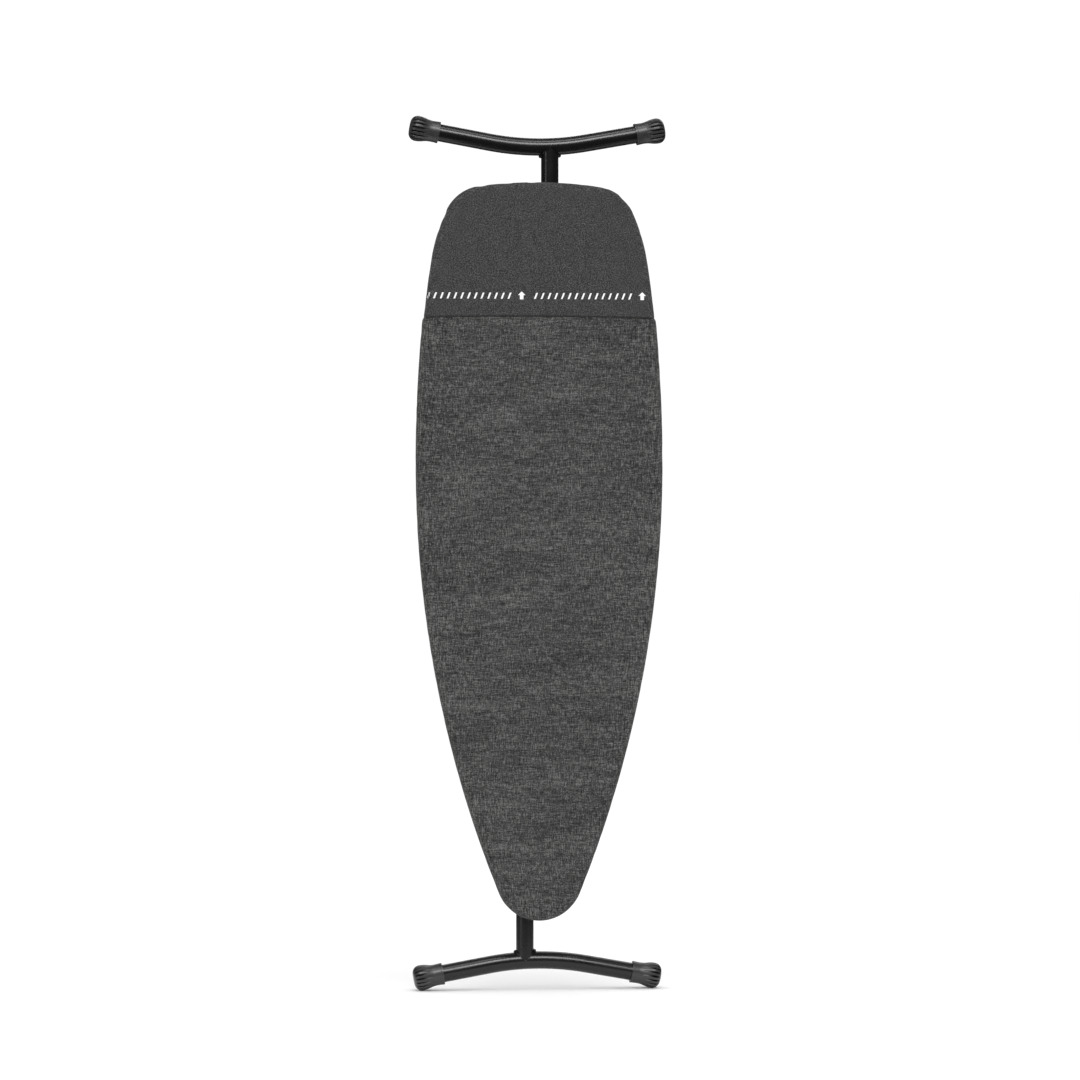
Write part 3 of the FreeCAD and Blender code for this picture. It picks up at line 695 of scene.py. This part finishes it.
def wrap_place(tree, along, z):
    """A point on the cover at a distance along its width, over the rounded edge and down the side."""
    side = math.copysign(1.0, along)
    hit = tree.ray_cast(Vector((side * 0.5, -0.018, z)), Vector((-side, 0, 0)))
    edge = abs(hit[0].x) - EDGE_RADIUS
    past = abs(along) - edge
    turn = past / EDGE_RADIUS
    centre = Vector((side * edge, FRONT + EDGE_RADIUS, z))
    if past <= 0:
        origin, ray = Vector((along, -0.2, z)), Vector((0, 1, 0))
    elif turn < math.pi / 2:
        ray = Vector((-side * math.sin(turn), math.cos(turn), 0))
        origin = centre - ray * 0.05
    else:
        origin = Vector((side * 0.5, FRONT + EDGE_RADIUS + past - EDGE_RADIUS * math.pi / 2, z))
        ray = Vector((-side, 0, 0))
    place, normal, _, _ = tree.ray_cast(origin, ray)
    if place is None or place.y > -0.012:
        return None
    if normal.dot(ray) > 0:
        normal = -normal
    return place + normal * INK_LIFT


def add_patch(verts, faces, tree, corners, splits=4):
    """A four-sided patch laid on the cover, given its corners as (along, z)."""
    a, b, c, d = corners
    start = len(verts)
    places = []
    for row in range(splits + 1):
        share = row / splits
        for low, high in ((a, d), (b, c)):
            along = low[0] + (high[0] - low[0]) * share
            z = low[1] + (high[1] - low[1]) * share
            places.append(wrap_place(tree, along, z))
    if any(place is None for place in places):
        return
    verts.extend(places)
    for row in range(splits):
        k = start + 2 * row
        faces.append((k, k + 1, k + 3, k + 2))


def upright(middle, low, low_half, high, high_half):
    """Corners of a patch that narrows or keeps its width on the way up."""
    return ((middle - low_half, low), (middle + low_half, low),
            (middle + high_half, high), (middle - high_half, high))


def make_print(tree):
    """White marks on the zone: arrows that point to the wide end, and rows of plain slanted dashes."""
    verts, faces = [], []
    low = MARK_Z - MARK_HEIGHT / 2
    high = MARK_Z + MARK_HEIGHT / 2
    for repeat in range(-2, 3):
        middle = ARROW_X + repeat * PERIOD
        if abs(middle) < ARROW_REACH:
            neck = high - 0.0042
            tip = high + 0.0022
            add_patch(verts, faces, tree, upright(middle, low - 0.001, STEM_HALF, neck, STEM_HALF))
            add_patch(verts, faces, tree, upright(middle, neck, HEAD_HALF, tip, TIP_HALF))
        start = middle + DASH_START
        for dash in range(DASHES):
            left = start + dash * DASH_STEP
            right = left + DASH_WIDTH
            if abs(left) <= DASH_REACH:
                corners = ((left, low), (right, low), (right + DASH_LEAN, high), (left + DASH_LEAN, high))
                add_patch(verts, faces, tree, corners)
    return make_object("zone_print", verts, faces, INK)


# ---- Layers under the cover -------------------------------------------------

# Expanded metal: the plate's middle depth, its diamonds and their strands.
PLATE_DEPTH = -0.02525
NOSE_Z = 0.128
DIAMOND_WIDTH = 0.022
DIAMOND_HEIGHT = 0.0105
STRAND = 0.0017
PLAIN_MARGIN = 0.010

# Edges of the felt and of the plate's plain strip, as (inset from the outline, depth).
FELT_SECTION = [(0.0035, -0.0277), (0.0022, -0.0273), (0.0022, -0.0264), (0.0035, -0.0260)]
RIM_SECTION = [(0.0018, -0.0257), (0.0018, -0.0249), (0.018, -0.0249), (0.018, -0.0257), (0.0018, -0.0257)]


def inset_ring(base, inset, depth):
    """The outline moved inwards, at one depth."""
    ring = []
    for point, out in base:
        place = point - out * inset
        ring.append(Vector((place.x, depth, place.y)))
    return ring


def flat_ring(base, inset, depth, share):
    """A ring part of the way from the spine to the edge, at one depth."""
    ring = []
    for point, out in base:
        edge = point - out * inset
        place = spine_point(edge).lerp(edge, share)
        ring.append(Vector((place.x, depth, place.y)))
    return ring


def foam_section():
    """Foam's edge, front to back, just inside the cover's rounded edge."""
    section = []
    for turn in range(0, 71, 14):
        a = math.radians(turn)
        section.append((0.010 - 0.0085 * math.sin(a), FRONT + 0.0095 - 0.0077 * math.cos(a)))
    return section + [(section[-1][0], -0.0278)]


def make_slab(name, material, section):
    """A soft flat layer, closed front and back."""
    base = outline(320)
    front, back = section[0], section[-1]
    rings = [inset_ring(base, inset, depth) for inset, depth in section]
    for share in (0.6, 0.3, 0.0):
        rings.insert(0, flat_ring(base, *front, share))
        rings.append(flat_ring(base, *back, share))
    verts = [v for ring in rings for v in ring]
    item = make_object(name, verts, ring_faces(len(rings), len(base)), material)
    join_doubles(item)
    return item


HALF_TABLE = sorted((point.y, point.x) for point, _ in outline(1200) if point.x >= 0)


def half_width_at(z):
    """Half the board's width at a height, nothing past its ends."""
    if not HALF_TABLE[0][0] < z < HALF_TABLE[-1][0]:
        return 0.0
    return HALF_TABLE[bisect_left(HALF_TABLE, (z,))][1]


def inside_outline(x, z, inset):
    """Whether a point of the face is inside the outline moved inwards."""
    return abs(x) < half_width_at(z) - inset


def make_mesh_plate():
    """Expanded-metal top: diamonds of thin strand, with a plain strip round the edge."""
    half_wide, half_tall = DIAMOND_WIDTH / 2, DIAMOND_HEIGHT / 2
    points, faces, index = [], [], {}

    def corner(column, row):
        key = (column, row)
        if key not in index:
            index[key] = len(points)
            points.append((column * half_wide, PLATE_DEPTH, NOSE_Z + row * half_tall))
        return index[key]

    for row in range(1, int((BOARD_TOP - NOSE_Z) / half_tall)):
        for column in range(-22, 23):
            if (row + column) % 2:
                continue
            x, z = column * half_wide, NOSE_Z + row * half_tall
            spots = ((x - half_wide, z), (x + half_wide, z), (x, z - half_tall), (x, z + half_tall))
            if z < BOARD_TOP - 0.012 and all(inside_outline(*spot, PLAIN_MARGIN) for spot in spots):
                faces.append((corner(column - 1, row), corner(column, row - 1),
                              corner(column + 1, row), corner(column, row + 1)))
    item = make_object("mesh_plate", points, faces, MATERIALS["frame_paint"], smooth=False)
    wire = item.modifiers.new("strands", "WIREFRAME")
    wire.thickness = STRAND
    wire.use_even_offset = False
    return apply_modifiers(item)


def make_plate_rim():
    """The plain strip round the expanded metal, folded over the rim tube."""
    base = outline(400)
    verts = [place for inset, depth in RIM_SECTION for place in inset_ring(base, inset, depth)]
    faces = ring_faces(len(RIM_SECTION), len(base))
    return make_object("plate_rim", verts, faces, MATERIALS["frame_paint"], smooth=False)


# ---- Hem, stitches and spring -----------------------------------------------

# One stitch: its thread, and its thickness as (share of its length, share of its radius).
STITCH_INSET = 0.0245
STITCH_SIDES = 6
STITCH_RADIUS = 0.00035
STITCH_SHAPE = ((0.0, 0.25), (0.2, 1.0), (0.8, 1.0), (1.0, 0.25))

# Cord in the hem, and dark thread in the seam; the seam's thread also stands in for the shade in its
# crease.
CORD_INSET = 0.0325
CORD_DEPTH = -0.0103
CORD_RADIUS = 0.0019
SEAM_CORD_RADIUS = 0.0008
SEAM_CORD_STEP = 0.00196

SPRING_WIRE = 0.0007
SPRING_RADIUS = 0.0052
SPRING_TURNS = 7
SPRING_MARGIN = 0.0008


def tube_curve(name, points, radius, material, cyclic=False):
    """A round thread or wire along a smooth curve."""
    curve = bpy.data.curves.new(name, "CURVE")
    curve.dimensions = "3D"
    curve.bevel_depth = radius
    curve.bevel_resolution = 4
    spline = curve.splines.new("NURBS")
    spline.points.add(len(points) - 1)
    for point, place in zip(spline.points, points):
        point.co = (*place, 1.0)
    spline.order_u = 4
    spline.use_cyclic_u = cyclic
    spline.use_endpoint_u = not cyclic
    curve.materials.append(material)
    item = bpy.data.objects.new(name, curve)
    bpy.context.scene.collection.objects.link(item)
    return item


def make_elastic():
    """The cord in the hem's edge, which the gathers pull into a slight wave."""
    base = outline(260)
    points = []
    for place, out in base:
        spot = place - out * CORD_INSET
        wave = noise.noise(Vector((spot.x, 0.0, spot.y)) * 26.0)
        points.append((spot.x, CORD_DEPTH + 0.0004 * wave, spot.y))
    return tube_curve("hem_cord", points, CORD_RADIUS, MATERIALS["elastic"], cyclic=True)


def capsule(verts, faces, start, end, radius, out):
    """One stitch: a short six-sided thread that dips into the cloth at both ends."""
    along = (end - start).normalized()
    side = along.cross(out).normalized()
    first = len(verts)
    count = STITCH_SIDES
    for share, size in STITCH_SHAPE:
        centre = start.lerp(end, share) + out * radius * (size - 0.4)
        for step in range(count):
            a = math.tau * step / count
            verts.append(centre + (side * math.cos(a) + out * math.sin(a)) * radius * size)
    faces += [tuple(first + k for k in face) for face in ring_faces(len(STITCH_SHAPE), count)]
    last = len(verts) - count
    faces.append(tuple(first + step for step in range(count)))
    faces.append(tuple(last + step for step in range(count)))


def make_stitches(tree):
    """Lockstitch that closes the hem's casing round the cord."""
    spots = []
    for place, out in outline(1400):
        spot = place - out * STITCH_INSET
        hit = tree.ray_cast(Vector((spot.x, 0.05, spot.y)), Vector((0, -1, 0)))
        spots.append(hit[0] if hit[0] is not None and hit[0].y > -0.02 else None)
    verts, faces = [], []
    for index in range(0, len(spots) - 2, 2):
        start, end = spots[index], spots[index + 1]
        if start is None or end is None:
            continue
        capsule(verts, faces, start, start.lerp(end, 1.35), STITCH_RADIUS, Vector((0, 1, 0)))
    return make_object("hem_stitches", verts, faces, YARN)


def make_seam_shade_cord(tree):
    """Dark overlock thread lying in the crease between the two cloths; its darkness also stands in for the
    shade in that crease.
    """
    points = []
    for step in range(-108, 109):
        x = step * SEAM_CORD_STEP
        z = SEAM_Z - SEAM_DIP * (x / SEAM_HALF_WIDTH) ** 2
        hit = tree.find_nearest(Vector((x, FRONT - 0.002, z)))[0]
        points.append((hit.x, hit.y - 0.0002, z))
    return tube_curve("seam_shade_cord", points, SEAM_CORD_RADIUS, SEAM_SHADE_YARN)


def make_spring():
    """Torsion spring on the lever's rod."""
    low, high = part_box("lever_spring")
    centre = (low + high) / 2
    height = high.z - low.z - 2 * SPRING_MARGIN
    points = []
    steps = 14
    for step in range(SPRING_TURNS * steps + 1):
        a = math.tau * step / steps
        x = centre.x + SPRING_RADIUS * math.cos(a)
        y = centre.y + SPRING_RADIUS * math.sin(a)
        z = low.z + SPRING_MARGIN + height * step / (SPRING_TURNS * steps)
        points.append((x, y, z))
    return tube_curve("return_spring", points, SPRING_WIRE, MATERIALS["zinc_steel"])


# ---- Welds ------------------------------------------------------------------

WELD_RIPPLES = 36


def make_weld(name, leg_x, bar_z, rise):
    """A rippled bead round the saddle where a leg meets its bowed foot bar, fuller at the sides."""
    count, sides = 144, 10
    verts = []
    for step in range(count):
        turn = math.tau * step / count
        side = abs(math.cos(turn))
        size = (0.0013 + 0.0024 * side ** 6) * (1 + 0.07 * math.sin(turn * WELD_RIPPLES))
        reach = TUBE_RADIUS + 0.0010 * side ** 6
        x = leg_x + reach * math.cos(turn)
        y = LEG_DEPTH + reach * math.sin(turn)
        centre = bar_z + rise * (BAR_RADIUS - math.sqrt(BAR_RADIUS ** 2 - x ** 2))
        z = centre - rise * (TUBE_RADIUS * side + 0.0010 * side ** 6)
        out = Vector((math.cos(turn), math.sin(turn), 0.0))
        up = Vector((0, 0, -rise))
        for corner in range(sides):
            a = math.tau * corner / sides
            verts.append(Vector((x, y, z)) + (out * math.cos(a) + up * math.sin(a)) * size)
    faces = []
    for step in range(count):
        for corner in range(sides):
            a = step * sides + corner
            b = step * sides + (corner + 1) % sides
            c = ((step + 1) % count) * sides + (corner + 1) % sides
            d = ((step + 1) % count) * sides + corner
            faces.append((a, b, c, d))
    return make_object(name, verts, faces, MATERIALS["leg_paint"])


# ---- Handle of the height lever ---------------------------------------------

LEVER_AXIS = Vector((0.074, -0.017))
LEVER_TURN = math.radians(14.7)
GRIP_MIDDLE = 0.606
GRIP_START = 0.0305
GRIP_LENGTH = 0.0430
GRIP_HALF_HEIGHT = 0.0195
GRIP_HALF_DEPTH = 0.0059

# Finger grooves: how many, how deep, and over which share of the handle's length.
FINGERS = 3
GROOVE_DEPTH = 0.0011
GROOVES_FROM = 0.16
GROOVES_TO = 0.94


def make_grip():
    """Moulded handle: a flat paddle with rounded edges, a waist and three finger grooves."""
    steps, sides = 45, 40
    along = Vector((math.cos(LEVER_TURN), math.sin(LEVER_TURN), 0.0))
    across = Vector((-math.sin(LEVER_TURN), math.cos(LEVER_TURN), 0.0))
    rings = []
    for step in range(steps):
        share = step / (steps - 1)
        reach = GRIP_START + GRIP_LENGTH * share
        end = min(share / 0.07, (1.0 - share) / 0.12, 1.0)
        fullness = math.sqrt(1.0 - (1.0 - end) ** 2)
        groove = 0.0
        if GROOVES_FROM < share < GROOVES_TO:
            past = (share - GROOVES_FROM) / (GROOVES_TO - GROOVES_FROM)
            groove = GROOVE_DEPTH * max(math.sin(past * math.tau * FINGERS), 0.0)
        waist = 1.0 - 0.07 * math.sin(math.pi * share) ** 2
        half_height = GRIP_HALF_HEIGHT * (0.55 + 0.45 * fullness) * waist
        half_depth = GRIP_HALF_DEPTH * (0.35 + 0.65 * fullness) - groove
        ring = []
        for side in range(sides):
            a = math.tau * side / sides
            y = math.copysign(abs(math.cos(a)) ** 0.75, math.cos(a)) * half_depth
            z = math.copysign(abs(math.sin(a)) ** 0.55, math.sin(a)) * half_height
            place = Vector((LEVER_AXIS.x, LEVER_AXIS.y, GRIP_MIDDLE)) + along * reach + across * y
            ring.append(place + Vector((0, 0, z)))
        rings.append(ring)
    verts = [place for ring in rings for place in ring]
    faces = ring_faces(steps, sides)
    faces += [tuple(range(sides - 1, -1, -1)), tuple((steps - 1) * sides + side for side in range(sides))]
    return make_object("lever_handle", verts, faces, MATERIALS["nylon"])


# ---- Build ------------------------------------------------------------------

slots = {row["node"]: row["material_slot"] for row in frame["record"]["subparts"]}
for node, item in frame["nodes"].items():
    item.data.materials.clear()
    item.data.materials.append(MATERIALS[slots[node]])

main_cover, zone_cover = make_cover()
for item, node, slot_name in (
    (main_cover, "cover_main", "cover_cloth"),
    (zone_cover, "cover_zone", "heat_cloth"),
):
    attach(item, "board")
    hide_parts(node)

zone_tree = BVHTree.FromObject(zone_cover, bpy.context.evaluated_depsgraph_get())
cover_tree = joined_tree((main_cover, zone_cover))
marks = make_print(zone_tree)
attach(marks, "board")
stitches = make_stitches(cover_tree)
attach(stitches, "board")
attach(make_seam_shade_cord(cover_tree), "board")
for item in (main_cover, zone_cover):
    thicken(item, CLOTH_THICKNESS)

foam_layer = make_slab("foam_layer", MATERIALS["foam"], foam_section())
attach(foam_layer, "board")
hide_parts("foam_pad")
felt_sheet = make_slab("felt_sheet", MATERIALS["felt"], FELT_SECTION)
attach(felt_sheet, "board")
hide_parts("felt_layer")

plate = make_mesh_plate()
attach(plate, "board")
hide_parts("top_plate")
plate_rim = make_plate_rim()
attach(plate_rim, "board")
elastic = make_elastic()
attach(elastic, "board")
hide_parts("hem_elastic")
spring = make_spring()
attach(spring, "board")
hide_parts("lever_spring")

grip = make_grip()
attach(grip, "lever")
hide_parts("lever_grip")

for name, node, body, leg_x, bar_z, rise in (
    ("front_weld_bead", "front_weld", "front_leg", -0.023, LOW_BAR_Z, -1),
    ("rear_weld_bead", "rear_weld", "rear_leg", 0.023, HIGH_BAR_Z, 1),
):
    bead = make_weld(name, leg_x, bar_z, rise)
    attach(bead, body)
    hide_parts(node)


# ---- Stage, light and camera ------------------------------------------------

# The floor by the object, and how far the rest of it goes.
NEAR = 0.7
FAR = 60.0

CAMERA_TARGET = Vector((-0.0003, FRONT, 0.8245))
CAMERA_DISTANCE = 8.0
CAMERA_TURN = 6.5
SENSOR_MM = 36.0
LENS_MM = 146.1


def floor_piece(name, corners, material):
    """One flat part of the floor."""
    floor = make_object(name, [(x, y, 0.0) for x, y in corners], [tuple(range(len(corners)))],
                        material, smooth=False)
    return floor


def make_floor():
    """A white floor; only the part by the object shows in its reflections."""
    nodes = Nodes("floor")
    nodes.set(Roughness=1.0, Specular_IOR_Level=0.0, Base_Color=(0.975, 0.975, 0.975, 1.0))
    near, far = NEAR, FAR
    floor_piece("floor_near", ((-near, -near), (near, -near), (near, near), (-near, near)), nodes.material)
    sides = (
        ("floor_front", ((-far, -far), (far, -far), (far, -near), (-far, -near))),
        ("floor_back", ((-far, near), (far, near), (far, far), (-far, far))),
        ("floor_left", ((-far, -near), (-near, -near), (-near, near), (-far, near))),
        ("floor_right", ((near, -near), (far, -near), (far, near), (near, near))),
    )
    for name, corners in sides:
        floor_piece(name, corners, nodes.material).visible_glossy = False


def make_world():
    """White surroundings for the eye and for diffuse light, dimmer ones in reflections."""
    world = bpy.data.worlds.new("studio")
    bpy.context.scene.world = world
    world.use_nodes = True
    tree = world.node_tree
    back = tree.nodes["Background"]
    path = tree.nodes.new("ShaderNodeLightPath")
    place = tree.nodes.new("ShaderNodeTexCoord")
    parts = tree.nodes.new("ShaderNodeSeparateXYZ")
    dim = tree.nodes.new("ShaderNodeMapRange")
    level = tree.nodes.new("ShaderNodeMapRange")
    tree.links.new(place.outputs["Generated"], parts.inputs["Vector"])
    tree.links.new(parts.outputs["Z"], dim.inputs["Value"])
    for name, number in (("From Min", 0.80), ("From Max", 1.00), ("To Min", 0.08), ("To Max", 0.30)):
        dim.inputs[name].default_value = number
    tree.links.new(path.outputs["Is Glossy Ray"], level.inputs["Value"])
    level.inputs["To Min"].default_value = 1.04
    tree.links.new(dim.outputs["Result"], level.inputs["To Max"])
    tree.links.new(level.outputs["Result"], back.inputs["Strength"])
    back.inputs["Color"].default_value = (1, 1, 1, 1)


def add_strip(name, place, target, width, height, power, shines_on_cloth):
    """A rectangular lamp; most of them only draw highlights on the tubes."""
    light = bpy.data.lights.new(name, "AREA")
    light.shape = "RECTANGLE"
    light.size = width
    light.size_y = height
    light.energy = power
    item = bpy.data.objects.new(name, light)
    bpy.context.scene.collection.objects.link(item)
    item.location = place
    item.rotation_euler = (Vector(target) - Vector(place)).to_track_quat("-Z", "Y").to_euler()
    item.visible_diffuse = shines_on_cloth


def make_camera():
    """Long lens, slightly to the left of the board, at the height of its middle."""
    data = bpy.data.cameras.new("camera")
    camera = bpy.data.objects.new("camera", data)
    bpy.context.scene.collection.objects.link(camera)
    data.sensor_width = SENSOR_MM
    data.lens = LENS_MM
    data.clip_end = 200.0
    yaw = math.radians(CAMERA_TURN)
    camera.location = CAMERA_TARGET + CAMERA_DISTANCE * Vector((-math.sin(yaw), -math.cos(yaw), 0.0))
    camera.rotation_euler = (math.radians(90), 0, -yaw)
    bpy.context.scene.camera = camera


make_floor()
make_world()
add_strip("key_strip", (-0.6, -8.0, 7.6), (0, 0, 0.8), 8.0, 2.6, 900, False)
add_strip("side_strip", (-4.5, -3.0, 1.2), (0, 0, 0.8), 0.5, 3.0, 25, False)
add_strip("back_strip", (3.0, 7.5, 6.5), (0, 0, 0.8), 8.0, 2.4, 170, False)
add_strip("top_light", (0.0, -1.6, 6.4), (0, 0, 1.2), 3.0, 1.0, 60, True)
make_camera()
bpy.context.scene.view_settings.view_transform = "Standard"
